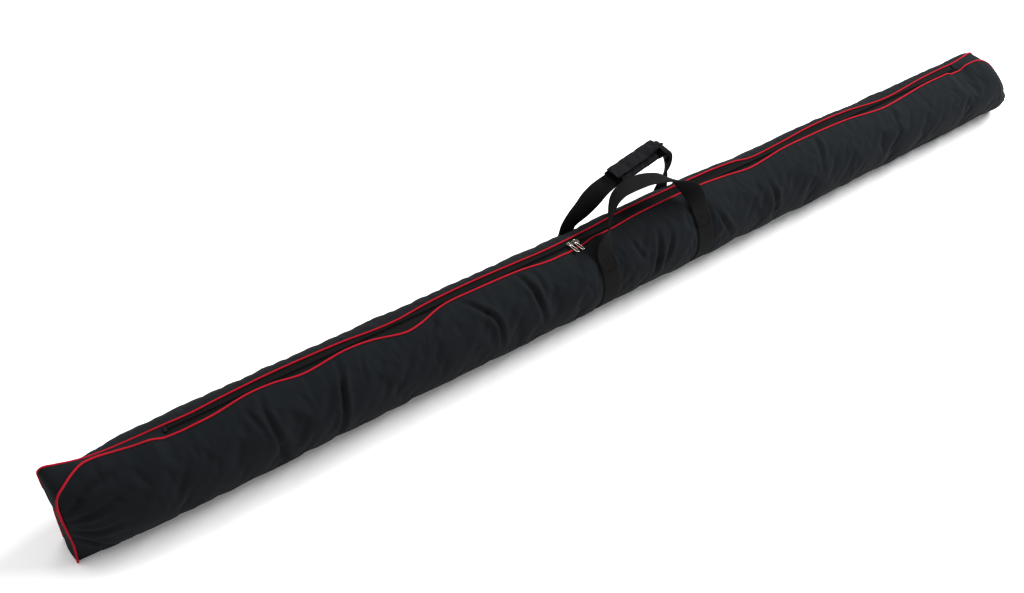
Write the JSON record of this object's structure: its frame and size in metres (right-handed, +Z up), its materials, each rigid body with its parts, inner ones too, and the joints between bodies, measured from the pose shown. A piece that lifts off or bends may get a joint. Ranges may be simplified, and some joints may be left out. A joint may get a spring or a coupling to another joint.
{
  "type": "boom pole carry bag",
  "caption": "Long padded tube bag for a boom pole, zipped along the top, with red piping, end gussets and a pair of webbing handles with a grip wrap.",
  "frame": {"origin": "under the middle of the bag's length and width, in the plane that it rests on", "axes": "+X along the bag to its right end, +Y to its back, +Z up through the zip"},
  "size_m": [1.825, 0.1258, 0.2011],
  "materials": {
    "coated_fabric": "coated, slight sheen",
    "foam": "open foam",
    "lining": "plain weave",
    "red_piping": "satin bias tape",
    "zip_tape": "woven tape",
    "zip_coil": "nylon coil",
    "nickel": "plated, lightly worn",
    "webbing": "ribbed webbing",
    "grip_fabric": "coated, slight sheen",
    "hook_and_loop": "napped",
    "thread": "twisted thread"
  },
  "bodies": {
    "bag": {"main_panel": "coated_fabric", "foam_pad": "foam", "lining": "lining", "end_gusset_left": "coated_fabric", "end_gusset_right": "coated_fabric", "piping_front": "red_piping", "piping_back": "red_piping", "seam_binding_front": "zip_tape", "seam_binding_back": "zip_tape", "zip_tape_front": "zip_tape", "zip_tape_back": "zip_tape", "zip_coil_front": "zip_coil", "zip_coil_back": "zip_coil", "zip_stop_left": "nickel", "zip_stop_right": "nickel", "handle_band_left": "webbing", "handle_band_right": "webbing", "stitched_box_front_left": "thread", "stitched_box_front_right": "thread", "stitched_box_back_left": "thread", "stitched_box_back_right": "thread"},
    "left_slider": {"slider_left": "nickel"},
    "left_pull": {"pull_left": "nickel"},
    "right_slider": {"slider_right": "nickel"},
    "right_pull": {"pull_right": "nickel"},
    "front_handle": {"handle_loop_front": "webbing"},
    "back_handle": {"handle_loop_back": "webbing", "grip_wrap": "grip_fabric", "grip_loop_patch": "hook_and_loop"},
    "flap": {"grip_flap": "grip_fabric", "grip_hook_patch": "hook_and_loop"}
  },
  "joints": [
    {"name": "slide_left_slider", "type": "slide", "parent": "bag", "child": "left_slider", "axis": [-1, 0, 0], "range_m": [0, 0.617]},
    {"name": "slide_right_slider", "type": "slide", "parent": "bag", "child": "right_slider", "axis": [1, 0, 0], "range_m": [0, 0.89]},
    {"name": "flip_left_pull", "type": "hinge", "parent": "left_slider", "child": "left_pull", "pos_m": [-0.1415, 0, 0.1224], "axis": [-1, 0, 0], "range_deg": [0, 176]},
    {"name": "flip_right_pull", "type": "hinge", "parent": "right_slider", "child": "right_pull", "pos_m": [-0.1317, 0, 0.1224], "axis": [-1, 0, 0], "range_deg": [0, 176]},
    {"name": "swing_front_handle", "type": "hinge", "parent": "bag", "child": "front_handle", "pos_m": [-0.0125, -0.03986, 0.11058], "axis": [1, 0, 0], "range_deg": [0, 130]},
    {"name": "swing_back_handle", "type": "hinge", "parent": "bag", "child": "back_handle", "pos_m": [-0.0125, 0.04977, 0.10087], "axis": [-1, 0, 0], "range_deg": [0, 105]},
    {"name": "open_grip_flap", "type": "hinge", "parent": "back_handle", "child": "flap", "pos_m": [0.01123, 0.05553, 0.18885], "axis": [-0.9609, 0.0361, -0.2745], "range_deg": [0, 150]}
  ]
}
